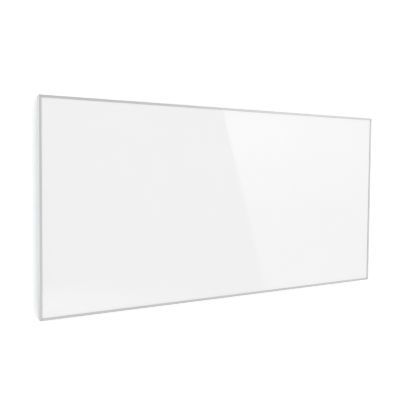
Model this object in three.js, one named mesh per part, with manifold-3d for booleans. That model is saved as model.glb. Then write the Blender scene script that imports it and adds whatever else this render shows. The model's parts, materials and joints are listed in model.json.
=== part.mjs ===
// Infrared panel heater, wall hung. Millimetres, +Z up, +X to the right of someone who faces it.
// The wall is the plane y = 0 and the room is on its -Y side. The origin is the middle of the wall
// rail's back face. Inside the panel group, y counts the depth back from the front of the frame,
// and x and z are measured from the panel's middle.
import * as THREE from 'three';
import { mergeVertices } from 'three/addons/utils/BufferGeometryUtils.js';
import Module from 'manifold-3d';

const wasm = await Module();
wasm.setup();

// ---------------------------------------------------------------- driving dimensions
const panelWidth = 1200;
const panelHeight = 600;
const panelDepth = 25;
const wallGap = 25; // clear space from the frame's back edge to the wall
const railDrop = 100; // from the panel's top edge down to the middle of the wall rail
const seat = 0.3; // clearance between pieces that touch in use

// Frame extrusion: a front lip, a pocket for the front layers, and a closed chamber behind it
const frameWall = 1.4;
const lipWidth = 6.5;
const chamberWidth = 11.2;
const keyLeg = 38; // length of each leg of a corner key
const keyNose = 2; // chamfer on the corner key's ends

// Layers, from the front
const glassThickness = 4;
const heatingSheetThickness = 1;
const edgeSealThickness = 1.6;
const foilThickness = 0.3;
const coverThickness = 0.8;
const coverRecess = 0.6; // the frame's edge stands proud of the rear cover by this

// Busbars, along the long edges of the heating sheet
const busbarWidth = 12;
const busbarThickness = 0.4;
const busbarInset = 3; // from the frame's chamber
const foilClearance = 4; // from a busbar to the reflector foil

// Rear cover: screws along the frame, and pressed stiffening beads
const coverScrew = { shank: 1.5, head: 3.2, headHeight: 2.1, length: 7 };
const coverScrewEndInset = 70; // from a panel corner to the first screw
const coverScrewsPerLongSide = 4;
const bead = { width: 16, height: 1.2, slope: 3, mouth: 0.1, endInset: 130 };
const beadPlaces = [95, -75]; // above the panel's middle

// Terminal box, on the back near the bottom right corner
const boxWidth = 100;
const boxHeight = 70;
const boxWall = 2;
const boxCorner = 6;
const boxFlange = 5; // held between the insulation and the rear cover
const boxFlangeThickness = 1.6;
const boxSideInset = 200; // from the panel's right end to the box's middle
const boxBottomInset = 115; // from the panel's bottom edge to the box's middle
const boxFloorDepth = 11; // from the front of the panel to the underside of the box's floor
const lidToWall = 3.2;
const lidThickness = 3;
const gasketThickness = 1;
const gasketWidth = 2.6;
const bossRadius = 4;
const bossInset = 6.2; // from the box's sides to a lid screw
const lidScrew = { shank: 1.3, head: 2.7, headHeight: 1.5, length: 11 };
const terminalBlock = { width: 46, height: 20, depth: 15, funnel: 6 };
const terminalPitch = 13;
const blockInset = 16; // from the box's top to the terminal block

// Cable gland, M12, in the box's bottom wall
const glandThreadRadius = 6;
const glandBore = 3.9;
const glandHex = 15; // across flats
const glandHexHeight = 5;
const glandThreadInside = 8;
const glandSpout = { radius: 5.2, length: 7 };
const dome = { length: 15, mouth: 4.1, wall: 1.4 };
// The dome's round end: two steps back from the mouth, as [depth, change from half the flats]
const domeSteps = [[2, -0.8], [4.5, 0.2]];
const domeCrown = 6.5; // from the mouth to where the hexagon is whole
const glandSealBore = 3.4; // for a lead of 6.5 mm
const glandSealLength = 5;
const lockNutHeight = 4;

// Thermal cut-outs on the back of the heating sheet, and the inner leads
const cutoutCap = { radius: 8.3, height: 3 };
const cutoutBody = { radius: 7.5, height: 7 };
const cutoutTab = { width: 6, thickness: 0.8, length: 9, start: 4 };
const cutoutPlaces = [-60, 60]; // above the panel's middle
const cutoutPocket = { width: 24, height: 38 };
const leadRadius = 1.3;
const leadDepth = 19.8; // from the front of the panel to a lead's middle
const leadBend = 3.6;
const grooveClearance = 0.8; // round a lead, in the insulation
const neutralRise = 14; // from the box's top to the neutral lead's turn
const neutralOffset = 78; // from the box's middle to the neutral lead's run down
const earthScrew = { shank: 2, head: 4, headHeight: 2.8, length: 9 };
const earthRise = 62; // from the box's middle up to the earth screw
const earthNut = { flats: 7, height: 2.4 };
const earthLug = { radius: 4, thickness: 1, tongue: 8, tongueWidth: 2.4, sink: 0.1 };
const earthRamp = { start: 19.2, end: 11.2 }; // below the earth screw: where the lead rises to the lug
const earthPocket = 7; // half the width of the hollow round the earth screw

// Wall rail and hangers: two bent Z sections that hook into each other
const railLength = 620;
const railSteel = 1.5;
const railWebBelow = 24; // web, below and above the rail's middle
const railWebAbove = 12;
const railReach = 12; // from the wall to the front of the rail's lip
const hookHeight = 14; // of the rail's lip and of the hangers' lip
const bendChamfer = 1; // stands for the outer radius of each bend
const railSlot = { length: 12, width: 5.5, drop: 6 };
const railSlotInsets = [25, 180]; // from the rail's end to a slot's middle
const hangerSteel = 1.5;
const hangerWidth = 80;
const hangerPlate = 34; // height of the plate on the panel's back
const hangerInset = 60; // from the rail's end to a hanger's middle
const rivet = { shank: 2.4, head: 4.7, headHeight: 1.3, bulb: 3.4, bulbLength: 4 };
const rivetSpacing = 50;

// Lower spacers
const spacer = { radius: 12, tip: 9.5, collar: 3, chamfer: 1 };
const spacerStem = { radius: 3.6, length: 6, barb: 4.6, barbLand: 1, nose: 2.2 };
const spacerPlace = { side: 80, bottom: 45 }; // from the panel's end and bottom edge
const pocketClearance = 1; // round rivet bulbs and spacer stems, in the insulation

// ---------------------------------------------------------------- values worked out from them
const halfWidth = panelWidth / 2;
const halfHeight = panelHeight / 2;
const wallDepth = panelDepth + wallGap;
const glassFront = frameWall + seat;
const sheetFront = glassFront + glassThickness + seat;
const sheetBack = sheetFront + heatingSheetThickness;
const chamberFront = sheetBack + seat + edgeSealThickness + seat;
const coverBack = panelDepth - coverRecess;
const coverFront = coverBack - coverThickness;
const chamberBack = coverFront - seat;
const insulationFront = sheetBack + seat + Math.max(foilThickness, busbarThickness) + seat;
const insulationBack = coverFront - seat;
const boxX = halfWidth - boxSideInset;
const boxZ = -halfHeight + boxBottomInset;
const lidBack = wallDepth - lidToWall;
const lidFront = lidBack - lidThickness;
const gasketFront = lidFront - seat - gasketThickness;
const boxRim = gasketFront - seat;
const flangeFront = insulationBack - boxFlangeThickness;
const glandDepth = (coverBack + boxRim) / 2;
const blockTop = boxZ + boxHeight / 2 - blockInset;
const cutoutX = boxX - terminalPitch;
const earthZ = boxZ + earthRise;
const railZ = halfHeight - railDrop;
const lipTop = railWebAbove + hookHeight;
const railSlotPlaces = railSlotInsets.flatMap((inset) => [inset - railLength / 2, railLength / 2 - inset]);
const hangerPlace = railLength / 2 - hangerInset;

// ---------------------------------------------------------------- materials
const finish = (color, roughness, metalness) => () =>
  new THREE.MeshStandardMaterial({ color, roughness, metalness });
const whiteGlass = finish(0xf2f2f1, 0.05, 0);
const anodised = finish(0xc9cacb, 0.32, 1);
const galvanised = finish(0xb7bcbf, 0.42, 1);
const zincSteel = finish(0xc2c4c4, 0.35, 1);
const carbonFilm = finish(0x202124, 0.6, 0);
const copper = finish(0xb87345, 0.3, 1);
const brightFoil = finish(0xd9dadb, 0.2, 1);
const mineralBoard = finish(0xd8d2bf, 0.95, 0);
const sealFoam = finish(0x8d8f91, 0.9, 0);
const blackPlastic = finish(0x1d1e20, 0.45, 0);
const blackRubber = finish(0x17181a, 0.8, 0);
const creamPlastic = finish(0xe4dfd0, 0.5, 0);
const phenolic = finish(0x2b2420, 0.5, 0);
const brownSilicone = finish(0x6b4630, 0.6, 0);
const blueSilicone = finish(0x2f5fa8, 0.6, 0);
const earthSilicone = finish(0x8fa83a, 0.6, 0);

// ---------------------------------------------------------------- geometry helpers
const ROUND = 16; // facets of a large circle
const FINE = 12; // facets of a screw
const SLOT_END = 5; // facets of a slot's round end
const CORNER = 4; // facets of a rounded corner
const LEAD_FACETS = 8; // round an inner lead
const BEND_STEPS = 4; // along a lead's bend
const WELD = 1e-4; // corners nearer than this are one
const OVER = 1; // how far a cutting tool runs past the face that it cuts, and a joined piece runs in
const past = ([from, to]) => [from - OVER, to + OVER];

function toSolid(geometry) {
  const bare = geometry.clone();
  bare.deleteAttribute('normal');
  bare.deleteAttribute('uv');
  const merged = mergeVertices(bare, WELD);
  return new wasm.Manifold(new wasm.Mesh({
    numProp: 3,
    vertProperties: new Float32Array(merged.attributes.position.array),
    triVerts: new Uint32Array(merged.index.array),
  }));
}

function toGeometry(solid) {
  const mesh = solid.getMesh();
  const geometry = new THREE.BufferGeometry();
  geometry.setAttribute('position', new THREE.BufferAttribute(new Float32Array(mesh.vertProperties), 3));
  geometry.setIndex(new THREE.BufferAttribute(new Uint32Array(mesh.triVerts), 1));
  geometry.computeVertexNormals();
  return geometry;
}

const cut = (body, tools) =>
  toGeometry(tools.reduce((solid, tool) => solid.subtract(toSolid(tool)), toSolid(body)));
const join = (body, extras) =>
  toGeometry(extras.reduce((solid, extra) => solid.add(toSolid(extra)), toSolid(body)));
const overlap = (body, other) => toGeometry(toSolid(body).intersect(toSolid(other)));

// A box between two corners
function slab([x0, x1], [y0, y1], [z0, z1]) {
  return new THREE.BoxGeometry(x1 - x0, y1 - y0, z1 - z0)
    .translate((x0 + x1) / 2, (y0 + y1) / 2, (z0 + z1) / 2);
}

// Round bars along Y at (x, z), and along Z at (x, y)
function barY(radius, [y0, y1], x = 0, z = 0, facets = FINE) {
  return new THREE.CylinderGeometry(radius, radius, y1 - y0, facets).translate(x, (y0 + y1) / 2, z);
}
function barZ(radius, [z0, z1], x = 0, y = 0, facets = FINE) {
  return new THREE.CylinderGeometry(radius, radius, z1 - z0, facets)
    .rotateX(Math.PI / 2).translate(x, y, (z0 + z1) / 2);
}

function polygon(points) {
  return new THREE.Shape(points.map(([x, y]) => new THREE.Vector2(x, y)));
}

function roundedOutline(width, height, radius) {
  const shape = new THREE.Shape();
  const [x, y] = [width / 2 - radius, height / 2 - radius];
  shape.absarc(x, y, radius, 0, Math.PI / 2);
  shape.absarc(-x, y, radius, Math.PI / 2, Math.PI);
  shape.absarc(-x, -y, radius, Math.PI, 1.5 * Math.PI);
  shape.absarc(x, -y, radius, 1.5 * Math.PI, 2 * Math.PI);
  return shape;
}

// A slot with round ends, along X
function slotOutline(length, width) {
  const shape = new THREE.Shape();
  const x = (length - width) / 2;
  shape.absarc(x, 0, width / 2, -Math.PI / 2, Math.PI / 2);
  shape.absarc(-x, 0, width / 2, Math.PI / 2, 1.5 * Math.PI);
  return shape;
}

function hexOutline(flats) {
  const corner = flats / Math.sqrt(3);
  return polygon([...Array(6).keys()].map((i) => {
    const angle = (i * Math.PI) / 3;
    return [corner * Math.cos(angle), corner * Math.sin(angle)];
  }));
}

// An outline drawn in X and Z, made solid from depth y0 to y1
function plate(shape, [y0, y1], curveSegments = CORNER) {
  return new THREE.ExtrudeGeometry(shape, { depth: y1 - y0, bevelEnabled: false, curveSegments })
    .rotateX(Math.PI / 2).translate(0, y1, 0);
}

// An outline drawn in Y and Z, made solid along X, with its middle at x = 0
function rolled(points, length) {
  const turn = new THREE.Matrix4().set(0, 0, 1, -length / 2, 1, 0, 0, 0, 0, 1, 0, 0, 0, 0, 0, 1);
  return new THREE.ExtrudeGeometry(polygon(points), { depth: length, bevelEnabled: false })
    .applyMatrix4(turn);
}

// A solid of revolution about Y, from [radius, y] pairs that start and end on the axis
function turned(profile, facets = FINE) {
  return new THREE.LatheGeometry(profile.map(([r, y]) => new THREE.Vector2(r, y)), facets);
}

const parts = new THREE.Group();
const wallSide = new THREE.Group();
const panel = new THREE.Group();
panel.position.set(0, -wallDepth, -railZ);
parts.add(wallSide, panel);

function place(group, name, geometry, makeMaterial, position = [0, 0, 0], turn = [0, 0, 0]) {
  const mesh = new THREE.Mesh(geometry, makeMaterial());
  mesh.name = name;
  mesh.position.set(...position);
  mesh.rotation.set(...turn);
  group.add(mesh);
}
const HALF_TURN = [0, Math.PI, 0];
const UNTURNED = [0, 0, 0];

// ---------------------------------------------------------------- screws and rivets
// The underside of the head is at y = 0 and the shank points to -Y
const screwForm = { // shares of the shank's radius, the head's radius and the head's height
  point: 0.3, taper: 1.6, rim: 0.45, shoulder: [0.78, 0.88], arm: 0.52, halfSlot: 0.11, floor: 0.35,
};
function panHeadScrew({ shank, head, headHeight, length }) {
  const [shoulderRadius, shoulderHeight] = screwForm.shoulder;
  const screw = turned([
    [0, -length], [shank * screwForm.point, -length], [shank, -length + shank * screwForm.taper],
    [shank, 0], [head, 0], [head, headHeight * screwForm.rim],
    [head * shoulderRadius, headHeight * shoulderHeight], [0, headHeight],
  ]);
  const [arm, halfSlot] = [head * screwForm.arm, head * screwForm.halfSlot];
  const recess = [headHeight * screwForm.floor, headHeight + OVER];
  return cut(screw, [
    slab([-arm, arm], recess, [-halfSlot, halfSlot]),
    slab([-halfSlot, halfSlot], recess, [-arm, arm]),
  ]);
}

const rivetForm = { // shares of the shank's, bulb's and head's radius and of their lengths
  mandrel: 0.42, mandrelDepth: 0.3, bulbEnd: 0.7, bulbSwell: 0.4, bulbNeck: 0.2, rim: [0.9, 0.5], crown: 0.5,
};
function blindRivet({ shank, head, headHeight, bulb, bulbLength }, grip) {
  const tip = -grip - bulbLength;
  const mandrel = shank * rivetForm.mandrel;
  const mandrelFloor = headHeight * rivetForm.mandrelDepth;
  const [rimRadius, rimHeight] = rivetForm.rim;
  return turned([
    [0, tip], [bulb * rivetForm.bulbEnd, tip], [bulb, tip + bulbLength * rivetForm.bulbSwell],
    [bulb, -grip - bulbLength * rivetForm.bulbNeck], [shank, -grip], [shank, 0], [head, 0],
    [head * rimRadius, headHeight * rimHeight], [head * rivetForm.crown, headHeight],
    [mandrel, headHeight], [mandrel, mandrelFloor], [0, mandrelFloor],
  ]);
}

// ---------------------------------------------------------------- frame
// Section of the extrusion: u inwards from the outer face, v back from the front
function frameSection() {
  const section = polygon([
    [0, 0], [lipWidth, 0], [lipWidth, frameWall], [frameWall, frameWall],
    [frameWall, chamberFront], [chamberWidth, chamberFront], [chamberWidth, chamberBack],
    [frameWall, chamberBack], [frameWall, panelDepth], [0, panelDepth],
  ]);
  const [u0, u1] = [frameWall, chamberWidth - frameWall];
  const [v0, v1] = [chamberFront + frameWall, chamberBack - frameWall];
  section.holes.push(new THREE.Path(
    [[u0, v0], [u0, v1], [u1, v1], [u1, v0]].map(([u, v]) => new THREE.Vector2(u, v))));
  return section;
}

// A member along X with its outer face at z = 0. A mitred end keeps half a seat from its neighbour.
function frameMember(length, screwPlaces) {
  const bar = new THREE.ExtrudeGeometry(frameSection(), { depth: 1, bevelEnabled: false });
  const position = bar.attributes.position;
  const end = length / 2 - seat / Math.SQRT2;
  for (let i = 0; i < position.count; i += 1) {
    const [u, v, w] = [position.getX(i), position.getY(i), position.getZ(i)];
    position.setXYZ(i, (w > 0.5 ? 1 : -1) * (end - u), v, -u);
  }
  const span = past([chamberBack - frameWall, chamberBack]);
  return cut(bar, screwPlaces.map((x) => barY(coverScrew.shank + seat, span, x, -chamberWidth / 2)));
}

const lastScrew = halfWidth - coverScrewEndInset;
const longSideScrews = [...Array(coverScrewsPerLongSide).keys()]
  .map((i) => -lastScrew + (2 * lastScrew * i) / (coverScrewsPerLongSide - 1));
const shortSideScrews = [0];
const longMember = frameMember(panelWidth, longSideScrews);
const shortMember = frameMember(panelHeight, shortSideScrews);
place(panel, 'frame_top', longMember, anodised, [0, 0, halfHeight]);
place(panel, 'frame_bottom', longMember.clone(), anodised, [0, 0, -halfHeight], HALF_TURN);
place(panel, 'frame_right', shortMember, anodised, [halfWidth, 0, 0], [0, Math.PI / 2, 0]);
place(panel, 'frame_left', shortMember.clone(), anodised, [-halfWidth, 0, 0], [0, -Math.PI / 2, 0]);

// Corner key: an L that fills the chambers of two members
function cornerKey() {
  const near = frameWall + seat;
  const far = chamberWidth - frameWall - seat;
  const outline = polygon([
    [near + keyNose, near], [keyLeg - keyNose, near], [keyLeg, near + keyNose],
    [keyLeg, far - keyNose], [keyLeg - keyNose, far], [far, far],
    [far, keyLeg - keyNose], [far - keyNose, keyLeg], [near + keyNose, keyLeg],
    [near, keyLeg - keyNose], [near, near + keyNose],
  ]);
  return plate(outline, [chamberFront + frameWall + seat, chamberBack - frameWall - seat]);
}
[
  ['corner_key_bottom_left', -1, -1, 0],
  ['corner_key_bottom_right', 1, -1, -Math.PI / 2],
  ['corner_key_top_right', 1, 1, Math.PI],
  ['corner_key_top_left', -1, 1, Math.PI / 2],
].forEach(([name, sideX, sideZ, turn]) => {
  place(panel, name, cornerKey(), zincSteel, [sideX * halfWidth, 0, sideZ * halfHeight], [0, turn, 0]);
});

// ---------------------------------------------------------------- front layers
const pocketX = halfWidth - frameWall - seat;
const pocketZ = halfHeight - frameWall - seat;
place(panel, 'front_glass',
  slab([-pocketX, pocketX], [glassFront, glassFront + glassThickness], [-pocketZ, pocketZ]), whiteGlass);
place(panel, 'heating_sheet',
  slab([-pocketX, pocketX], [sheetFront, sheetBack], [-pocketZ, pocketZ]), carbonFilm);

// Edge seals press the glass and the heating sheet against the frame's lip
const sealSpan = [sheetBack + seat, sheetBack + seat + edgeSealThickness];
const sealX = halfWidth - chamberWidth;
const sealZ = halfHeight - chamberWidth;
const longSeal = () => slab([-pocketX, pocketX], sealSpan, [sealZ, pocketZ]);
const shortSeal = () => slab([sealX, pocketX], sealSpan, [-sealZ + seat, sealZ - seat]);
place(panel, 'edge_seal_top', longSeal(), sealFoam);
place(panel, 'edge_seal_bottom', longSeal(), sealFoam, [0, 0, 0], HALF_TURN);
place(panel, 'edge_seal_right', shortSeal(), sealFoam);
place(panel, 'edge_seal_left', shortSeal(), sealFoam, [0, 0, 0], HALF_TURN);

const busbarTop = halfHeight - chamberWidth - busbarInset;
const busbarBottom = busbarTop - busbarWidth;
const busbarX = halfWidth - chamberWidth - busbarInset;
const busbarBack = sheetBack + seat + busbarThickness;
[['busbar_top', UNTURNED], ['busbar_bottom', HALF_TURN]].forEach(([name, turn]) => {
  const strip = slab([-busbarX, busbarX], [sheetBack + seat, busbarBack], [busbarBottom, busbarTop]);
  place(panel, name, strip, copper, [0, 0, 0], turn);
});

const foilZ = busbarBottom - foilClearance;
place(panel, 'reflector_foil', cut(
  slab([-busbarX, busbarX], [sheetBack + seat, sheetBack + seat + foilThickness], [-foilZ, foilZ]),
  cutoutPlaces.map((z) =>
    barY(cutoutCap.radius + pocketClearance, [sheetBack, insulationFront], cutoutX, z, ROUND)),
), brightFoil);

// ---------------------------------------------------------------- thermal cut-outs
function thermalCutout() {
  const capFront = sheetBack + seat;
  const capBack = capFront + cutoutCap.height;
  const bodyBack = capBack + cutoutBody.height;
  const body = turned([
    [0, capFront], [cutoutCap.radius, capFront], [cutoutCap.radius, capBack],
    [cutoutBody.radius, capBack], [cutoutBody.radius, bodyBack], [0, bodyBack],
  ], ROUND);
  const { width, thickness, length, start } = cutoutTab;
  const across = [-width / 2, width / 2];
  const tabSpan = [leadDepth - thickness / 2, leadDepth + thickness / 2];
  const tabs = [1, -1].flatMap((side) => {
    const along = (a, b) => [Math.min(side * a, side * b), Math.max(side * a, side * b)];
    return [
      slab(across, [bodyBack - OVER, tabSpan[1]], along(start, start + thickness)),
      slab(across, tabSpan, along(start, start + length)),
    ];
  });
  return join(body, tabs);
}
cutoutPlaces.forEach((z, i) => {
  place(panel, `thermal_cutout_${i + 1}`, thermalCutout(), phenolic, [cutoutX, 0, z]);
});

// ---------------------------------------------------------------- terminal box
const boxOutline = () => roundedOutline(boxWidth, boxHeight, boxCorner);
const boxInside = () =>
  roundedOutline(boxWidth - 2 * boxWall, boxHeight - 2 * boxWall, boxCorner - boxWall);
const flangeOutline = (extra = 0) => roundedOutline(
  boxWidth + 2 * (boxFlange + extra), boxHeight + 2 * (boxFlange + extra), boxCorner + boxFlange + extra);
const bossPlaces = [[1, 1], [-1, 1], [-1, -1], [1, -1]]
  .map(([sideX, sideZ]) => [sideX * (boxWidth / 2 - bossInset), sideZ * (boxHeight / 2 - bossInset)]);
const leadPlaces = { live: -terminalPitch, earth: 0, neutral: terminalPitch };

function terminalBox() {
  const outside = join(plate(boxOutline(), [boxFloorDepth, boxRim]),
    [plate(flangeOutline(), [flangeFront, insulationBack])]);
  const tray = cut(outside, [plate(boxInside(), [boxFloorDepth + boxWall, boxRim + OVER])]);
  const bosses = bossPlaces.map(([x, z]) =>
    barY(bossRadius, [boxFloorDepth + boxWall / 2, boxRim], x, z, ROUND));
  const pilots = bossPlaces.map(([x, z]) =>
    barY(lidScrew.shank + seat, [boxRim - lidScrew.length, boxRim + OVER], x, z));
  const bottomWall = past([-boxHeight / 2, -boxHeight / 2 + boxWall]);
  const topWall = past([boxHeight / 2 - boxWall, boxHeight / 2]);
  const glandHole = barZ(glandThreadRadius + seat, bottomWall, 0, glandDepth, ROUND);
  const leadHoles = Object.values(leadPlaces).map((x) => barZ(leadRadius + seat, topWall, x, leadDepth));
  return cut(join(tray, bosses), [...pilots, glandHole, ...leadHoles]);
}
place(panel, 'terminal_box', terminalBox(), blackPlastic, [boxX, 0, boxZ]);

const gasketSpan = [gasketFront, gasketFront + gasketThickness];
const gasketInside = roundedOutline(
  boxWidth - 2 * gasketWidth, boxHeight - 2 * gasketWidth, boxCorner - boxWall);
const gasketRing = cut(plate(boxOutline(), gasketSpan), [plate(gasketInside, past(gasketSpan))]);
const screwPads = bossPlaces.map(([x, z]) => barY(bossRadius, gasketSpan, x, z, ROUND));
const lidGasket = cut(join(gasketRing, screwPads),
  bossPlaces.map(([x, z]) => barY(lidScrew.shank + seat, past(gasketSpan), x, z)));
place(panel, 'lid_gasket', lidGasket, blackRubber, [boxX, 0, boxZ]);

const headRecess = lidBack - lidScrew.headHeight - seat; // floor of the recess for a screw's head
const boxLid = cut(plate(boxOutline(), [lidFront, lidBack]), bossPlaces.flatMap(([x, z]) => [
  barY(lidScrew.shank + seat, past([lidFront, lidBack]), x, z),
  barY(lidScrew.head + seat, [headRecess, lidBack + OVER], x, z, ROUND),
]));
place(panel, 'terminal_box_lid', boxLid, blackPlastic, [boxX, 0, boxZ]);
bossPlaces.forEach(([x, z], i) => {
  place(panel, `lid_screw_${i + 1}`, panHeadScrew(lidScrew), zincSteel,
    [boxX + x, headRecess + seat, boxZ + z]);
});

// Terminal block: a funnel at the top for each inner lead and one below it for each mains core
const blockFloor = boxFloorDepth + boxWall + seat;
function threeWayBlock() {
  const { width, height, depth, funnel } = terminalBlock;
  const bore = leadRadius + seat;
  const top = blockFloor + depth + OVER;
  const body = slab([-width / 2, width / 2], [blockFloor, blockFloor + depth], [-height, 0]);
  return cut(body, Object.values(leadPlaces).flatMap((x) => [
    barZ(bore, [-funnel, OVER], x, leadDepth),
    barZ(bore, [-height - OVER, -height + funnel], x, leadDepth),
    barY(bore, [leadDepth, top], x, -funnel / 2),
    barY(bore, [leadDepth, top], x, -height + funnel / 2),
  ]));
}
place(panel, 'terminal_block', threeWayBlock(), creamPlastic, [boxX, 0, blockTop]);

// ---------------------------------------------------------------- cable gland, pointing down
// Each piece is made along Y, with the box's outer wall at y = 0 and the mouth at -Y, and then turned
const glandPlace = [boxX, glandDepth, boxZ - boxHeight / 2];
const glandTurn = [Math.PI / 2, 0, 0];
const hexBar = (flats, span) => plate(hexOutline(flats), span);
const bored = (body, radius, span) => cut(body, [barY(radius, past(span), 0, 0, ROUND)]);

const glandHexSpan = [-seat - glandHexHeight, -seat];
const spoutEnd = glandHexSpan[0] - glandSpout.length;
const threadEnd = boxWall + glandThreadInside;
const glandBody = bored(join(hexBar(glandHex, glandHexSpan), [
  barY(glandThreadRadius, [glandHexSpan[1] - OVER, threadEnd], 0, 0, ROUND),
  barY(glandSpout.radius, [spoutEnd, glandHexSpan[0] + OVER], 0, 0, ROUND),
]), glandBore, [spoutEnd, threadEnd]);
place(panel, 'gland_body', glandBody, blackPlastic, glandPlace, glandTurn);

const lockNutSpan = [boxWall + seat, boxWall + seat + lockNutHeight];
const lockNut = bored(hexBar(glandHex, lockNutSpan), glandThreadRadius + seat, lockNutSpan);
place(panel, 'gland_lock_nut', lockNut, blackPlastic, glandPlace, glandTurn);

// Dome nut: a hexagonal skirt that closes to a round mouth
const domeSkirt = glandHexSpan[0] - seat;
const domeEnd = domeSkirt - dome.length;
const sealBack = spoutEnd - seat;
const sealFront = sealBack - glandSealLength;
function domeNut() {
  const corner = glandHex / Math.sqrt(3);
  const crown = turned([
    [0, domeEnd], [dome.mouth + dome.wall, domeEnd],
    ...domeSteps.map(([depth, change]) => [glandHex / 2 + change, domeEnd + depth]),
    [corner + OVER, domeEnd + domeCrown], [corner + OVER, domeSkirt + OVER], [0, domeSkirt + OVER],
  ], ROUND);
  const cavityRadius = glandSpout.radius + seat;
  return cut(overlap(hexBar(glandHex, [domeEnd, domeSkirt]), crown), [
    barY(cavityRadius, [sealFront - seat, domeSkirt + OVER], 0, 0, ROUND),
    barY(dome.mouth, [domeEnd - OVER, domeSkirt], 0, 0, ROUND),
  ]);
}
place(panel, 'gland_dome_nut', domeNut(), blackPlastic, glandPlace, glandTurn);
const glandSeal = bored(barY(glandSpout.radius, [sealFront, sealBack], 0, 0, ROUND),
  glandSealBore, [sealFront, sealBack]);
place(panel, 'gland_seal', glandSeal, blackRubber, glandPlace, glandTurn);

// ---------------------------------------------------------------- inner leads
// A route of straight runs, sampled only at the points that it is given
class Route extends THREE.Curve {
  constructor(points) {
    super();
    this.points = points;
  }

  getPoint(t, target = new THREE.Vector3()) {
    const place = t * (this.points.length - 1);
    const i = Math.min(Math.floor(place), this.points.length - 2);
    return target.lerpVectors(this.points[i], this.points[i + 1], place - i);
  }

  getUtoTmapping(u) {
    return u;
  }
}

// Rounds each inner corner of a route
function rounded(corners, bend) {
  const points = corners.map((corner) => new THREE.Vector3(...corner));
  const route = [points[0]];
  for (let i = 1; i < points.length - 1; i += 1) {
    const [before, here, after] = [points[i - 1], points[i], points[i + 1]];
    const into = here.clone().lerp(before, Math.min(0.5, bend / here.distanceTo(before)));
    const out = here.clone().lerp(after, Math.min(0.5, bend / here.distanceTo(after)));
    route.push(...new THREE.QuadraticBezierCurve3(into, here, out).getPoints(BEND_STEPS));
  }
  route.push(points[points.length - 1]);
  return route;
}

function lead(corners) {
  const points = rounded(corners, leadBend);
  const section = polygon([...Array(LEAD_FACETS).keys()].map((i) => {
    const angle = (i * 2 * Math.PI) / LEAD_FACETS;
    return [leadRadius * Math.cos(angle), leadRadius * Math.sin(angle)];
  }));
  return new THREE.ExtrudeGeometry(section,
    { extrudePath: new Route(points), steps: points.length - 1, bevelEnabled: false });
}

const tabReach = cutoutTab.start + cutoutTab.length + seat;
const blockEntry = blockTop - terminalBlock.funnel / 2;
const busbarZ = (busbarTop + busbarBottom) / 2;
const leadEnd = busbarBack + seat;
const neutralX = boxX + neutralOffset;
const neutralTurnZ = boxZ + boxHeight / 2 + neutralRise;
place(panel, 'live_lead_lower', lead([
  [cutoutX, leadDepth, blockEntry], [cutoutX, leadDepth, cutoutPlaces[0] - tabReach],
]), brownSilicone);
place(panel, 'live_lead_middle', lead([
  [cutoutX, leadDepth, cutoutPlaces[0] + tabReach], [cutoutX, leadDepth, cutoutPlaces[1] - tabReach],
]), brownSilicone);
place(panel, 'live_lead_upper', lead([
  [cutoutX, leadDepth, cutoutPlaces[1] + tabReach], [cutoutX, leadDepth, busbarZ],
  [cutoutX, leadEnd, busbarZ],
]), brownSilicone);
place(panel, 'neutral_lead', lead([
  [boxX + leadPlaces.neutral, leadDepth, blockEntry], [boxX + leadPlaces.neutral, leadDepth, neutralTurnZ],
  [neutralX, leadDepth, neutralTurnZ], [neutralX, leadDepth, -busbarZ], [neutralX, leadEnd, -busbarZ],
]), blueSilicone);

// The earth lead and the ring lug that is crimped on it
const lugSpan = [insulationBack - earthLug.thickness, insulationBack];
const lugLeadDepth = insulationBack - leadRadius - earthLug.sink;
const earthLeadEnd = earthZ - earthNut.flats / Math.sqrt(3) - 2 * seat;
function earthLead() {
  const tube = lead([
    [boxX, leadDepth, blockEntry], [boxX, leadDepth, earthZ - earthRamp.start],
    [boxX, lugLeadDepth, earthZ - earthRamp.end], [boxX, lugLeadDepth, earthLeadEnd],
  ]);
  const half = earthLug.tongueWidth / 2;
  const tongue = slab([boxX - half, boxX + half], lugSpan, [earthZ - earthLug.tongue, earthZ]);
  const ring = barY(earthLug.radius, lugSpan, boxX, earthZ, ROUND);
  const hole = barY(earthScrew.shank + seat, past(lugSpan), boxX, earthZ);
  return cut(join(tube, [tongue, ring]), [hole]);
}
place(panel, 'earth_lead', earthLead(), earthSilicone);
const nutSpan = [lugSpan[0] - seat - earthNut.height, lugSpan[0] - seat];
place(panel, 'earth_nut', bored(hexBar(earthNut.flats, nutSpan), earthScrew.shank + seat, nutSpan),
  zincSteel, [boxX, 0, earthZ]);
place(panel, 'earth_screw', panHeadScrew(earthScrew), zincSteel, [boxX, coverBack + seat, earthZ]);

// ---------------------------------------------------------------- hangers and wall rail
const hangerFront = coverBack + seat;
const hangerBack = hangerFront + hangerSteel;
const hangerShelf = railZ + lipTop + seat; // underside, just above the rail's lip
const hangerTop = hangerShelf + hangerPlate;
const hangerLip = wallDepth - railReach + railSteel + seat; // front of the hanger's lip
const rivetZ = (hangerShelf + hangerSteel + hangerTop) / 2;
const rivetPlaces = [-rivetSpacing / 2, rivetSpacing / 2];

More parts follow.
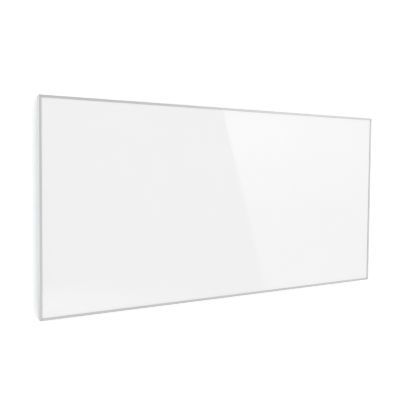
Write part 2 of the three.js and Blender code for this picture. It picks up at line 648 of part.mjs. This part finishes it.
function hanger() {
  const shelfTop = hangerShelf + hangerSteel;
  const lipBack = hangerLip + hangerSteel;
  const bent = rolled([
    [hangerFront, hangerShelf + bendChamfer], [hangerFront + bendChamfer, hangerShelf],
    [hangerLip, hangerShelf], [hangerLip, shelfTop - hookHeight], [lipBack, shelfTop - hookHeight],
    [lipBack, shelfTop - bendChamfer], [lipBack - bendChamfer, shelfTop],
    [hangerBack, shelfTop], [hangerBack, hangerTop], [hangerFront, hangerTop],
  ], hangerWidth);
  return cut(bent, rivetPlaces.map((x) =>
    barY(rivet.shank + seat, past([hangerFront, hangerBack]), x, rivetZ)));
}
const hangers = [['left', -hangerPlace], ['right', hangerPlace]];
const rivetGrip = seat + hangerSteel + seat + coverThickness;
hangers.forEach(([side, x]) => {
  place(panel, `hanger_${side}`, hanger(), zincSteel, [x, 0, 0]);
  rivetPlaces.forEach((offset, i) => {
    place(panel, `hanger_${side}_rivet_${i + 1}`, blindRivet(rivet, rivetGrip), anodised,
      [x + offset, hangerBack + seat, rivetZ]);
  });
});

function wallRail() {
  const front = -railReach;
  const bent = rolled([
    [0, -railWebBelow], [0, railWebAbove - bendChamfer], [-bendChamfer, railWebAbove],
    [front + railSteel, railWebAbove], [front + railSteel, lipTop], [front, lipTop],
    [front, railWebAbove - railSteel + bendChamfer], [front + bendChamfer, railWebAbove - railSteel],
    [-railSteel, railWebAbove - railSteel], [-railSteel, -railWebBelow],
  ], railLength);
  const slot = plate(slotOutline(railSlot.length, railSlot.width), past([-railSteel, 0]), SLOT_END);
  return cut(bent, railSlotPlaces.map((x) => slot.clone().translate(x, 0, -railSlot.drop)));
}
place(wallSide, 'wall_rail', wallRail(), galvanised);

// ---------------------------------------------------------------- lower spacers
const spacerHeight = wallDepth - hangerFront;
function wallSpacer() {
  const stemFront = -seat - coverThickness - spacerStem.length;
  const barbBack = -2 * seat - coverThickness;
  const { radius, tip, collar, chamfer } = spacer;
  return turned([
    [0, stemFront], [spacerStem.nose, stemFront], [spacerStem.barb, barbBack - spacerStem.barbLand],
    [spacerStem.barb, barbBack], [spacerStem.radius, barbBack], [spacerStem.radius, 0],
    [radius, 0], [radius, collar], [tip, collar + chamfer], [tip, spacerHeight - chamfer],
    [tip - chamfer, spacerHeight], [0, spacerHeight],
  ], ROUND);
}
const spacerZ = -halfHeight + spacerPlace.bottom;
const spacerX = halfWidth - spacerPlace.side;
place(panel, 'wall_spacer_left', wallSpacer(), blackRubber, [-spacerX, hangerFront, spacerZ]);
place(panel, 'wall_spacer_right', wallSpacer(), blackRubber, [spacerX, hangerFront, spacerZ]);

// ---------------------------------------------------------------- rear cover
const everyCoverScrew = [
  ...longSideScrews.flatMap((x) => [1, -1].map((side) => [x, side * (halfHeight - chamberWidth / 2)])),
  ...shortSideScrews.flatMap((z) => [1, -1].map((side) => [side * (halfWidth - chamberWidth / 2), z])),
];
const everyRivet = hangers.flatMap(([, x]) => rivetPlaces.map((offset) => [x + offset, rivetZ]));
const everySpacer = [[-spacerX, spacerZ], [spacerX, spacerZ]];

// A low ridge with sloping sides, pressed out of the sheet from y0 to y1
function ridge(length, width, [y0, y1], slope) {
  const foot = slotOutline(length, width).getPoints(SLOT_END);
  const crest = slotOutline(length - 2 * slope, width - 2 * slope).getPoints(SLOT_END);
  const lower = foot.map((point) => new THREE.Vector3(point.x, y0, point.y));
  const upper = crest.map((point) => new THREE.Vector3(point.x, y1, point.y));
  const [lowMiddle, highMiddle] = [new THREE.Vector3(0, y0, 0), new THREE.Vector3(0, y1, 0)];
  const triangles = lower.flatMap((corner, i) => {
    const j = (i + 1) % lower.length;
    return [
      corner, upper[i], upper[j], corner, upper[j], lower[j],
      lowMiddle, corner, lower[j], highMiddle, upper[j], upper[i],
    ];
  });
  return new THREE.BufferGeometry().setFromPoints(triangles);
}

function rearCover() {
  const across = past([coverFront, coverBack]);
  const sheet = slab([-pocketX, pocketX], [coverFront, coverBack], [-pocketZ, pocketZ]);
  const length = panelWidth - 2 * bead.endInset;
  const ridges = beadPlaces.map((z) =>
    ridge(length, bead.width, [coverBack - coverThickness / 2, coverBack + bead.height], bead.slope)
      .translate(0, 0, z));
  const troughs = beadPlaces.map((z) =>
    ridge(length - coverThickness, bead.width - coverThickness,
      [coverFront - bead.mouth, coverFront + bead.height], bead.slope).translate(0, 0, z));
  const boxHole = plate(roundedOutline(boxWidth + 2 * seat, boxHeight + 2 * seat, boxCorner), across)
    .translate(boxX, 0, boxZ);
  return cut(join(sheet, ridges), [
    ...troughs,
    boxHole,
    ...everyCoverScrew.map(([x, z]) => barY(coverScrew.shank + seat, across, x, z)),
    ...everyRivet.map(([x, z]) => barY(rivet.shank + seat, across, x, z)),
    ...everySpacer.map(([x, z]) => barY(spacerStem.radius + seat, across, x, z, ROUND)),
    barY(earthScrew.shank + seat, across, boxX, earthZ),
  ]);
}
place(panel, 'rear_cover', rearCover(), galvanised);
everyCoverScrew.forEach(([x, z], i) => {
  place(panel, `cover_screw_${i + 1}`, panHeadScrew(coverScrew), zincSteel, [x, coverBack + seat, z]);
});

// ---------------------------------------------------------------- insulation board
function insulationBoard() {
  const back = insulationBack + OVER;
  const through = [insulationFront - OVER, back];
  const groove = leadRadius + grooveClearance;
  const grooveSpan = [leadDepth - groove, back];
  const beside = (x) => [x - groove, x + groove];
  const between = (a, b) => [Math.min(a, b) - groove, Math.max(a, b) + groove];
  const boardX = sealX - seat;
  const boardZ = sealZ - seat;
  const board = slab([-boardX, boardX], [insulationFront, insulationBack], [-boardZ, boardZ]);
  const boxPocket = plate(roundedOutline(boxWidth + 2 * seat, boxHeight + 2 * seat, boxCorner),
    [boxFloorDepth - seat, back]).translate(boxX, 0, boxZ);
  const flangePocket = plate(flangeOutline(seat), [flangeFront - seat, back]).translate(boxX, 0, boxZ);
  const cutoutPockets = cutoutPlaces.map((z) => slab(
    [cutoutX - cutoutPocket.width / 2, cutoutX + cutoutPocket.width / 2],
    through,
    [z - cutoutPocket.height / 2, z + cutoutPocket.height / 2],
  ));
  const neutralStart = boxX + leadPlaces.neutral;
  const grooves = [
    slab(beside(cutoutX), grooveSpan, between(boxZ, busbarZ)),
    slab(beside(neutralStart), grooveSpan, between(boxZ, neutralTurnZ)),
    slab(between(neutralStart, neutralX), grooveSpan, beside(neutralTurnZ)),
    slab(beside(neutralX), grooveSpan, between(neutralTurnZ, -busbarZ)),
    slab(beside(boxX), grooveSpan, between(boxZ, earthZ)),
  ];
  const leadHoles = [[cutoutX, busbarZ, busbarZ - leadBend], [neutralX, -busbarZ, -busbarZ + leadBend]]
    .map(([x, end, bendStart]) => slab(beside(x), through, between(end, bendStart)));
  const earthTip = coverBack + seat - earthScrew.length;
  const earthHollow = slab([boxX - earthPocket, boxX + earthPocket],
    [earthTip - pocketClearance, back], [earthZ - earthPocket, earthZ + earthPocket]);
  const rivetPockets = everyRivet.map(([x, z]) => barY(rivet.bulb + pocketClearance,
    [coverFront - rivet.bulbLength - pocketClearance, back], x, z));
  const stemPockets = everySpacer.map(([x, z]) => barY(spacerStem.barb + pocketClearance,
    [coverFront - spacerStem.length - pocketClearance, back], x, z, ROUND));
  return cut(board, [boxPocket, flangePocket, ...cutoutPockets, ...grooves, ...leadHoles, earthHollow,
    ...rivetPockets, ...stemPockets]);
}
place(panel, 'insulation_board', insulationBoard(), mineralBoard);

export default parts;
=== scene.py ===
# Infrared panel heater: finishes, rounded edges, stage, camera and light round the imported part.
# Metres, in the part's frame: +Z up, the wall is y = 0 and the room is on its -Y side.
import json
import math

import bmesh
import bpy
from mathutils import Matrix, Vector

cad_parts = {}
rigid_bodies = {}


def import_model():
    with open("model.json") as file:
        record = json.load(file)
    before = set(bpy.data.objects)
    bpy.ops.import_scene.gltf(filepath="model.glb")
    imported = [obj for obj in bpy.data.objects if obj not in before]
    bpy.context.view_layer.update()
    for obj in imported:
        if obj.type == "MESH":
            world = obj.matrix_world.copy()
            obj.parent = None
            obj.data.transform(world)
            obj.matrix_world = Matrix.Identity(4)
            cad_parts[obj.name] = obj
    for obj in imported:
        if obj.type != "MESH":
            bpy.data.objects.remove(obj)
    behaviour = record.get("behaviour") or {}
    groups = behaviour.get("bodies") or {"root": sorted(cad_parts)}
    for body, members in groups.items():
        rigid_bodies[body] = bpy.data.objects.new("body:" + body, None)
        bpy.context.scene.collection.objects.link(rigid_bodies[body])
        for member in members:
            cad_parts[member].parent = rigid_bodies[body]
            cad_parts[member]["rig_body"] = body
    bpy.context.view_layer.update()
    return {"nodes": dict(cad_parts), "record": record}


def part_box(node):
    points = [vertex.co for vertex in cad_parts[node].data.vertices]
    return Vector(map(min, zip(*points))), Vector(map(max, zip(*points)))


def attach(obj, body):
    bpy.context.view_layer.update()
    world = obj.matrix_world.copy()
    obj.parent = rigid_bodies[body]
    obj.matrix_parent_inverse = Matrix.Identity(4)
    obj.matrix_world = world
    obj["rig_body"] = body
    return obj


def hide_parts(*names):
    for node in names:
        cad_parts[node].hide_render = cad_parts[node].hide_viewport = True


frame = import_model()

MM = 0.001
scene = bpy.context.scene
nodes = frame["nodes"]
body_of = {node: obj["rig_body"] for node, obj in nodes.items()}
slot_of = {row["node"]: row["material_slot"] for row in frame["record"]["subparts"]}
glass_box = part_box("front_glass")
GLASS_PLANE = glass_box[0].y
PANEL_MIDDLE = (glass_box[0] + glass_box[1]) / 2


# ---------------------------------------------------------------- shader helpers
NOISE_LOW = 0.3  # most of a noise lies between this
NOISE_HIGH = 0.7  # and this


class Finish:
    """A Principled material, with short ways to add procedural detail to it."""

    def __init__(self, name, color, roughness, metallic=0.0):
        self.material = bpy.data.materials.new(name)
        self.material.use_nodes = True
        self.tree = self.material.node_tree
        self.shader = self.tree.nodes["Principled BSDF"]
        self.color = color
        self.set("Base Color", (*color, 1.0))
        self.set("Roughness", roughness)
        self.set("Metallic", metallic)

    def set(self, socket, value):
        self.shader.inputs[socket].default_value = value

    def node(self, kind, inputs, **settings):
        """A new shader node: an input that is a socket is linked, any other is set."""
        made = self.tree.nodes.new(kind)
        for key, value in settings.items():
            setattr(made, key, value)
        for key, value in inputs.items():
            if isinstance(value, bpy.types.NodeSocket):
                self.tree.links.new(value, made.inputs[key])
            else:
                made.inputs[key].default_value = value
        return made

    def place(self, stretch=(1, 1, 1)):
        """Object coordinates, which are the part's own metres, stretched along each axis."""
        coordinates = self.node("ShaderNodeTexCoord", {}).outputs["Object"]
        return self.node("ShaderNodeMapping", {"Vector": coordinates, "Scale": stretch}).outputs[0]

    def noise(self, scale, detail, stretch=(1, 1, 1)):
        """Soft spots, about as many a metre along each axis as scale times stretch."""
        return self.node("ShaderNodeTexNoise", {
            "Vector": self.place(stretch), "Scale": scale, "Detail": detail,
        }).outputs["Fac"]

    def cells(self, scale, output="Color"):
        """Cells with clear borders, about scale of them a metre."""
        return self.node("ShaderNodeTexVoronoi", {"Vector": self.place(), "Scale": scale}).outputs[output]

    def span(self, value, low, high, from_low=NOISE_LOW, from_high=NOISE_HIGH):
        """Spreads a value, unless told otherwise one with a noise's range, over low to high."""
        return self.node("ShaderNodeMapRange", {
            "Value": value, "From Min": from_low, "From Max": from_high,
            "To Min": low, "To Max": high,
        }).outputs["Result"]

    def vary_color(self, value, amount, tint=(1, 1, 1)):
        """Base colour from a little darker to a little lighter as value goes from low to high."""
        mix = self.node("ShaderNodeMix", {"Factor": self.span(value, 0, 1)}, data_type="RGBA")
        for socket, sign in (("A", -1), ("B", 1)):
            shade = [channel * share * (1 + sign * amount) for channel, share in zip(self.color, tint)]
            mix.inputs[socket].default_value = (*shade, 1.0)
        self.tree.links.new(mix.outputs["Result"], self.shader.inputs["Base Color"])

    def vary_roughness(self, value, low, high):
        self.tree.links.new(self.span(value, low, high), self.shader.inputs["Roughness"])

    def relief(self, height, depth, strength):
        bump = self.node("ShaderNodeBump", {"Height": height, "Distance": depth, "Strength": strength})
        self.tree.links.new(bump.outputs["Normal"], self.shader.inputs["Normal"])


def lines_along(axis, along, across):
    """Stretch that turns a noise into lines along an axis, from its spots a metre along and across."""
    return tuple(along if letter == axis else across for letter in "xyz")


# ---------------------------------------------------------------- finishes
def white_glass():
    """White enamel under a hard gloss, with a faint bloom where it was wiped."""
    finish = Finish("white_glass", (0.888, 0.888, 0.888), 0.015)
    finish.set("IOR", 2.1)
    finish.vary_color(finish.noise(7, 4), 0.004)
    finish.vary_roughness(finish.noise(11, 5), 0.01, 0.02)
    return finish.material


def anodised(name, axis, shade):
    """Extruded and anodised aluminium: fine die lines run along the member's axis."""
    finish = Finish(name, (shade, shade, shade), 0.32, 1.0)
    lines = finish.noise(1, 4, lines_along(axis, 5, 1400))
    finish.vary_color(finish.noise(1, 3, lines_along(axis, 2, 260)), 0.035)
    finish.vary_roughness(lines, 0.27, 0.4)
    finish.relief(lines, 0.02 * MM, 0.35)
    return finish.material


def galvanised():
    """Hot-dipped sheet: zinc crystals of a few millimetres, each a little lighter or darker."""
    finish = Finish("galvanised_steel", (0.474, 0.503, 0.521), 0.42, 1.0)
    crystal = finish.span(finish.cells(170), NOISE_LOW, NOISE_HIGH, 0, 1)
    finish.vary_color(crystal, 0.05)
    finish.vary_roughness(crystal, 0.38, 0.46)
    finish.relief(finish.noise(420, 4), 0.03 * MM, 0.3)
    return finish.material


def rolled_zinc():
    """Cold-rolled strip, plated: lighter than dipped sheet, with fine rolling lines along it."""
    finish = Finish("rolled_zinc", (0.56, 0.58, 0.59), 0.34, 1.0)
    lines = finish.noise(1, 4, lines_along("x", 4, 700))
    finish.vary_color(finish.noise(1, 3, lines_along("x", 3, 160)), 0.04)
    finish.vary_roughness(lines, 0.29, 0.4)
    finish.relief(lines, 0.02 * MM, 0.3)
    return finish.material


def zinc_plated():
    """Small steel parts, plated bright, with a faint blue."""
    finish = Finish("zinc_steel", (0.539, 0.552, 0.552), 0.35, 1.0)
    finish.vary_color(finish.noise(160, 4), 0.06, (1.0, 1.0, 1.02))
    finish.vary_roughness(finish.noise(700, 4), 0.26, 0.42)
    finish.relief(finish.noise(2200, 3), 0.01 * MM, 0.3)
    return finish.material


def rivet_aluminium():
    finish = Finish("rivet_aluminium", (0.584, 0.591, 0.597), 0.3, 1.0)
    finish.vary_color(finish.noise(900, 3), 0.05)
    finish.vary_roughness(finish.noise(1500, 3), 0.24, 0.4)
    return finish.material


def grained(name, color, roughness, grain=1700, depth=0.04):
    """Moulded plastic or rubber with the fine grain of its mould."""
    finish = Finish(name, color, roughness)
    finish.vary_color(finish.noise(60, 4), 0.09)
    finish.vary_roughness(finish.noise(240, 4), roughness * 0.85, min(1.0, roughness * 1.15))
    finish.relief(finish.noise(grain, 3), depth * MM, 0.5)
    return finish.material


def copper():
    """Rolled copper strip, a little darker and lighter where it has tarnished."""
    finish = Finish("copper", (0.479, 0.171, 0.0595), 0.3, 1.0)
    finish.vary_color(finish.noise(45, 4), 0.12)
    finish.vary_roughness(finish.noise(1, 3, lines_along("x", 8, 900)), 0.22, 0.4)
    return finish.material


def crinkled_foil():
    finish = Finish("reflector_aluminium", (0.694, 0.701, 0.708), 0.2, 1.0)
    finish.vary_roughness(finish.noise(60, 3), 0.14, 0.28)
    finish.relief(finish.cells(70, "Distance"), 0.35 * MM, 0.4)
    return finish.material


def mineral_board():
    """Pressed mineral fibre, which runs mostly along the board."""
    finish = Finish("mineral_fibre", (0.687, 0.645, 0.521), 0.95)
    finish.vary_color(finish.noise(1, 6, (300, 300, 1300)), 0.12)
    finish.relief(finish.noise(1, 5, (380, 380, 1600)), 0.5 * MM, 0.7)
    return finish.material


def carbon_laminate():
    """A woven carbon film: two fine bands at right angles."""
    finish = Finish("carbon_laminate", (0.0144, 0.0152, 0.0176), 0.6)
    bands = [finish.node("ShaderNodeTexWave", {"Vector": finish.place(), "Scale": 320.0},
                         bands_direction=axis).outputs["Fac"] for axis in "XZ"]
    weave = finish.node("ShaderNodeMath", {0: bands[0], 1: bands[1]}, operation="MULTIPLY").outputs[0]
    finish.vary_color(weave, 0.3)
    finish.relief(weave, 0.08 * MM, 0.5)
    return finish.material


def closed_foam():
    finish = Finish("seal_foam", (0.266, 0.275, 0.283), 0.9)
    finish.vary_color(finish.noise(900, 4), 0.12)
    finish.relief(finish.cells(1500, "Distance"), 0.25 * MM, 0.6)
    return finish.material


FINISHES = {  # by material slot
    "white_glass": white_glass(),
    # The top and bottom members are painted a darker grey than the uprights, 0.545 against 0.572: painted
    # shade for the darker light on their lips.
    "frame_aluminium": anodised("frame_aluminium_x_painted_shade", "x", 0.545),
    "rivet_aluminium": rivet_aluminium(),
    "reflector_aluminium": crinkled_foil(),
    "galvanised_steel": galvanised(),
    "zinc_steel": zinc_plated(),
    "carbon_laminate": carbon_laminate(),
    "copper": copper(),
    "seal_foam": closed_foam(),
    "mineral_fibre": mineral_board(),
    "phenolic": grained("phenolic", (0.0242, 0.0176, 0.0144), 0.5),
    "black_plastic": grained("black_plastic", (0.0123, 0.013, 0.0144), 0.45),
    "black_rubber": grained("black_rubber", (0.0086, 0.0091, 0.0103), 0.8, 1500, 0.03),
    "cream_plastic": grained("cream_plastic", (0.776, 0.738, 0.631), 0.5),
    "brown_silicone": grained("brown_silicone", (0.147, 0.0612, 0.0296), 0.6),
    "blue_silicone": grained("blue_silicone", (0.0284, 0.114, 0.392), 0.6),
    "earth_silicone": grained("earth_silicone", (0.275, 0.392, 0.0423), 0.6),
}
UPRIGHTS = ("frame_left", "frame_right")
HANGERS = ("hanger_left", "hanger_right")
OWN_FINISHES = {  # of the nodes that don't wear their slot's finish
    # The uprights wear a lighter copy of the same aluminium, so the two greys are lit and shaded copies of
    # one finish, with painted shade on the top and bottom.
    **dict.fromkeys(UPRIGHTS, anodised("frame_aluminium_z", "z", 0.572)),
    **dict.fromkeys(("wall_rail", *HANGERS), rolled_zinc()),
}


def finish_of(node):
    return OWN_FINISHES.get(node) or FINISHES[slot_of[node]]


def wear(obj, material):
    obj.data.materials.clear()
    obj.data.materials.append(material)


# ---------------------------------------------------------------- pieces with rounded edges
FLAT = math.radians(1)  # faces that meet at less than this are one flat face
CREASE = math.radians(35)  # edges where faces meet at more than this are eased
WELD = 0.001 * MM  # points closer than this are one
CUT_SNAP = 0.0001 * MM  # a point closer than this to a cut lies on it
EDGE_SEGMENTS = 2
FACE_WEIGHT = 100  # in the shading: 50 is neutral, and at 100 the large faces count for most
HANGER_EDGE = 0.3
EDGES = {  # node name start: radius of its eased edges in millimetres
    "frame_": 0.35,
    "rear_cover": 0.15,
    "wall_rail": 0.3,
    "terminal_box_lid": 0.6,
    "gland_body": 0.25,
    "gland_dome_nut": 0.4,
    "gland_lock_nut": 0.25,
    "wall_spacer_": 0.4,
    "cover_screw_": 0.12,
    "lid_screw_": 0.1,
    "earth_screw": 0.15,
}
openings = {opening["name"]: opening["box_m"] for opening in frame["record"]["physics"]["openings"]}
slot_low, slot_high = openings["wall_screw_slot_1"]
CUT_HEIGHTS = {"wall_rail": (slot_low[2] + slot_high[2]) / 2}  # the middle of its screw slots


def edge_of(node):
    """Radius in millimetres, or None for a node that keeps its CAD mesh."""
    if node in HANGERS:
        return HANGER_EDGE
    return next((EDGES[start] for start in EDGES if node.startswith(start)), None)


def cut_level(work, height):
    """Splits the faces at a height, with seams that keep the halves from being merged again."""
    everything = work.verts[:] + work.edges[:] + work.faces[:]
    cut = bmesh.ops.bisect_plane(work, geom=everything, dist=CUT_SNAP,
                                 plane_co=(0, 0, height), plane_no=(0, 0, 1))
    for part in cut["geom_cut"]:
        if isinstance(part, bmesh.types.BMEdge):
            part.seam = True


def merged_faces(node):
    """A copy of a node's mesh with its flat faces merged, except that none wraps round an opening.

    Easing could stretch a face that wraps round an opening across it. The rail's slots lie in a
    row, so there a cut through their middles keeps the faces apart and meets the rims squarely.
    """
    mesh = nodes[node].data.copy()
    work = bmesh.new()
    work.from_mesh(mesh)
    bmesh.ops.remove_doubles(work, verts=work.verts, dist=WELD)
    if node in CUT_HEIGHTS:
        cut_level(work, CUT_HEIGHTS[node])
    bmesh.ops.dissolve_limit(work, angle_limit=FLAT, verts=work.verts, edges=work.edges, delimit={"SEAM"})
    if node not in CUT_HEIGHTS:
        bmesh.ops.connect_verts_concave(work, faces=work.faces[:])
    work.to_mesh(mesh)
    work.free()
    mesh.shade_smooth()
    return mesh


def edged(node, edge):
    """Stands for a CAD node: the same shape with its sharp edges eased."""
    piece = bpy.data.objects.new(f"{node}_edged", merged_faces(node))
    scene.collection.objects.link(piece)
    ease = piece.modifiers.new("ease", "BEVEL")
    ease.width = edge * MM
    ease.segments = EDGE_SEGMENTS
    ease.limit_method = "ANGLE"
    ease.angle_limit = CREASE
    # Flat faces keep their own direction in the shading, and only the eased edges turn
    ease.face_strength_mode = "FSTR_AFFECTED"
    flats = piece.modifiers.new("flats", "WEIGHTED_NORMAL")
    flats.weight = FACE_WEIGHT
    flats.use_face_influence = True
    wear(piece, finish_of(node))
    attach(piece, body_of[node])
    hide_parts(node)


for name in sorted(nodes):
    radius = edge_of(name)
    if radius is None:
        wear(nodes[name], finish_of(name))
    else:
        edged(name, radius)


# ---------------------------------------------------------------- stage: wall, floor and sky
WHITE = 1.0  # strength of a light that renders as white
WALL_BEHIND = 1.5 * MM  # the wall stands this far behind the rail's back face
WALL_SIZE = 9.0
FLOOR_LEVEL = -1.25
FLOOR_SIZE = 14.0
WALL_PAINT = 0.95
WALL_GLOW = 0.25  # share of the wall's white that the camera sees whatever the shadow
FLOOR_PAINT = 0.8
FLOOR_GLOW = 0.34
SKY_LIGHT = 0.81  # on the object


def staged(name, points, faces, material):
    """A piece of the set round the object."""
    mesh = bpy.data.meshes.new(name)
    mesh.from_pydata(points, [], faces)
    obj = bpy.data.objects.new(name, mesh)
    scene.collection.objects.link(obj)
    wear(obj, material)
    return obj


def hide_from(obj, *rays):
    for ray in rays:
        setattr(obj, f"visible_{ray}", False)


def surface_only(name):
    """A material with nothing but its output."""
    material = bpy.data.materials.new(name)
    material.use_nodes = True
    tree = material.node_tree
    tree.nodes.clear()
    return material, tree, tree.nodes.new("ShaderNodeOutputMaterial").inputs["Surface"]


def background_ray(tree):
    """One for a ray that shows the background: from the camera, off gloss or through glass."""
    path = tree.nodes.new("ShaderNodeLightPath")
    found = path.outputs["Is Camera Ray"]
    for kind in ("Is Glossy Ray", "Is Transmission Ray"):
        either = tree.nodes.new("ShaderNodeMath")
        either.operation = "MAXIMUM"
        tree.links.new(found, either.inputs[0])
        tree.links.new(path.outputs[kind], either.inputs[1])
        found = either.outputs[0]
    return found


def paper(name, paint, glow):
    """Matt white that the camera, and what reflects it, see a little brighter than the light makes it.

    It is clear from behind, so the views from the back and from below look through it.
    """
    material, tree, surface = surface_only(name)
    link = tree.links.new
    new = tree.nodes.new
    matt = new("ShaderNodeBsdfDiffuse")
    matt.inputs["Color"].default_value = (paint, paint, paint, 1)
    light = new("ShaderNodeEmission")
    strength = new("ShaderNodeMath")
    strength.operation = "MULTIPLY"
    strength.inputs[1].default_value = glow
    link(background_ray(tree), strength.inputs[0])
    link(strength.outputs[0], light.inputs["Strength"])
    both = new("ShaderNodeAddShader")
    link(matt.outputs[0], both.inputs[0])
    link(light.outputs[0], both.inputs[1])
    face = new("ShaderNodeNewGeometry")
    clear = new("ShaderNodeBsdfTransparent")
    choice = new("ShaderNodeMixShader")
    link(face.outputs["Backfacing"], choice.inputs[0])
    link(both.outputs[0], choice.inputs[1])
    link(clear.outputs[0], choice.inputs[2])
    link(choice.outputs[0], surface)
    return material


def white_sky():
    """The camera and the gloss see it white, while the object is lit by SKY_LIGHT of it."""
    world = bpy.data.worlds.new("sky")
    world.use_nodes = True
    tree = world.node_tree
    background = tree.nodes["Background"]
    background.inputs["Color"].default_value = (1, 1, 1, 1)
    level = tree.nodes.new("ShaderNodeMapRange")
    level.inputs["To Min"].default_value = SKY_LIGHT
    level.inputs["To Max"].default_value = WHITE
    tree.links.new(background_ray(tree), level.inputs["Value"])
    tree.links.new(level.outputs["Result"], background.inputs["Strength"])
    return world


half = WALL_SIZE / 2
wall_corners = [(-half, WALL_BEHIND, FLOOR_LEVEL), (half, WALL_BEHIND, FLOOR_LEVEL),
                (half, WALL_BEHIND, half), (-half, WALL_BEHIND, half)]
wall = staged("stage_wall", wall_corners, [(0, 1, 2, 3)], paper("stage_wall", WALL_PAINT, WALL_GLOW))
# The wall takes the panel's shadow but lets light and sight through from behind, for the rear views
hide_from(wall, "shadow", "diffuse", "glossy", "transmission")

half = FLOOR_SIZE / 2
floor_corners = [(x, y, FLOOR_LEVEL) for x, y in ((-half, -half), (half, -half), (half, half), (-half, half))]
staged("stage_floor", floor_corners, [(0, 1, 2, 3)], paper("stage_floor", FLOOR_PAINT, FLOOR_GLOW))
scene.world = white_sky()


# ---------------------------------------------------------------- camera, at the photograph's angle
CAMERA_PLACE = Vector((-0.880, -1.458, -0.0895))
YAW = math.radians(28.363)
PITCH = math.radians(-2.483)
ROLL = math.radians(0.487)
LENS = 46.99  # millimetres, on a 36 mm sensor
AXIS_ABOVE_MIDDLE = 9 / 400  # the lens axis meets the picture this share of its side above the middle

forward = Vector((math.sin(YAW) * math.cos(PITCH), math.cos(YAW) * math.cos(PITCH), math.sin(PITCH)))
level_right = Vector((math.cos(YAW), -math.sin(YAW), 0))
level_up = level_right.cross(forward)
right = math.cos(ROLL) * level_right + math.sin(ROLL) * level_up
up = -math.sin(ROLL) * level_right + math.cos(ROLL) * level_up
turn = Matrix((right, up, -forward)).transposed().to_4x4()
camera = bpy.data.objects.new("camera", bpy.data.cameras.new("camera"))
scene.collection.objects.link(camera)
camera.matrix_world = Matrix.Translation(CAMERA_PLACE) @ turn
camera.data.lens = LENS
camera.data.shift_y = -AXIS_ABOVE_MIDDLE
scene.camera = camera


# ---------------------------------------------------------------- light
def soft_light(name, place, size, power, spread=180):
    """A square lamp that faces the panel's middle: its place, side and watts, and degrees of spread."""
    lamp = bpy.data.lights.new(name, "AREA")
    lamp.spread = math.radians(spread)
    lamp.size = size
    lamp.energy = power
    obj = bpy.data.objects.new(name, lamp)
    scene.collection.objects.link(obj)
    place = Vector(place)
    turn = (PANEL_MIDDLE - place).to_track_quat("-Z", "Y").to_matrix().to_4x4()
    obj.matrix_world = Matrix.Translation(place) @ turn
    return obj


# From the front, level with the panel: its shadow shows on the wall at the left only
front_light = soft_light("light_front", (-0.28, -4.0, -0.2), 1.2, 15, spread=140)
hide_from(front_light, "glossy")
# High enough that neither the glass nor the frame's lips mirror a lamp towards the camera
soft_light("light_right", (2.2, -2.8, 2.6), 1.0, 6)
soft_light("light_left", (-2.6, -2.2, 2.2), 1.0, 6)
# A little brighter than white where the panel's left side mirrors it
soft_light("light_behind", (-1.2, 3.6, -0.3), 3.0, 8)


# ---------------------------------------------------------------- card that the glass mirrors
# It stands in the room, a little brighter than white, and the glass shows its slanted left edge, which
# softens downwards. It lights nothing directly.
CARD_PLANE = -2.5  # y of the card
CARD_FAR_X = 4.2  # x of its right end
EDGE_CROSSING = -0.0119  # x at which the edge crosses z = 0 on the glass
EDGE_SLANT = -0.2932  # how far it moves right for each metre up
CARD_ROWS = [  # on the glass: z, blur of the edge; past white: at the edge, at the far right
    (0.250, 0.006, 0.80, 0.90),
    (0.090, 0.006, 0.53, 0.34),
    (-0.020, 0.010, 0.52, 0.33),
    (-0.080, 0.014, 0.42, 0.32),
    (-0.170, 0.022, 0.39, 0.28),
    (-0.235, 0.016, 0.27, 0.26),
    (-0.500, 0.016, 0.27, 0.26),
]


def mirrored_on_card(x, z):
    """The point of the card's plane that the camera sees reflected at (x, z) of the glass."""
    eye = Vector((CAMERA_PLACE.x, 2 * GLASS_PLANE - CAMERA_PLACE.y, CAMERA_PLACE.z))
    ray = Vector((x, GLASS_PLANE, z)) - eye
    return eye + ray * ((CARD_PLANE - eye.y) / ray.y)


def glow_past_white(name):
    """Light of white plus what the mesh's past_white attribute says at each point."""
    material, tree, surface = surface_only(name)
    light = tree.nodes.new("ShaderNodeEmission")
    past = tree.nodes.new("ShaderNodeAttribute")
    past.attribute_name = "past_white"
    total = tree.nodes.new("ShaderNodeMath")
    total.inputs[1].default_value = WHITE
    tree.links.new(past.outputs["Fac"], total.inputs[0])
    tree.links.new(total.outputs[0], light.inputs["Strength"])
    tree.links.new(light.outputs[0], surface)
    return material


points = []
past_white = []
for z, blur, at_edge, at_far in CARD_ROWS:
    x = EDGE_CROSSING + EDGE_SLANT * z
    inner = mirrored_on_card(x + blur / 2, z)
    points += [mirrored_on_card(x - blur / 2, z), inner, Vector((CARD_FAR_X, CARD_PLANE, inner.z))]
    past_white += [0.0, at_edge, at_far]
# Two faces between each row of three points and the next
starts = [3 * row + side for row in range(1, len(CARD_ROWS)) for side in (0, 1)]
faces = [(start, start + 1, start - 2, start - 3) for start in starts]
card = staged("stage_card", points, faces, glow_past_white("stage_card"))
card.data.attributes.new("past_white", "FLOAT", "POINT").data.foreach_set("value", past_white)
hide_from(card, "camera", "diffuse", "shadow", "transmission")

scene.view_settings.view_transform = "Standard"
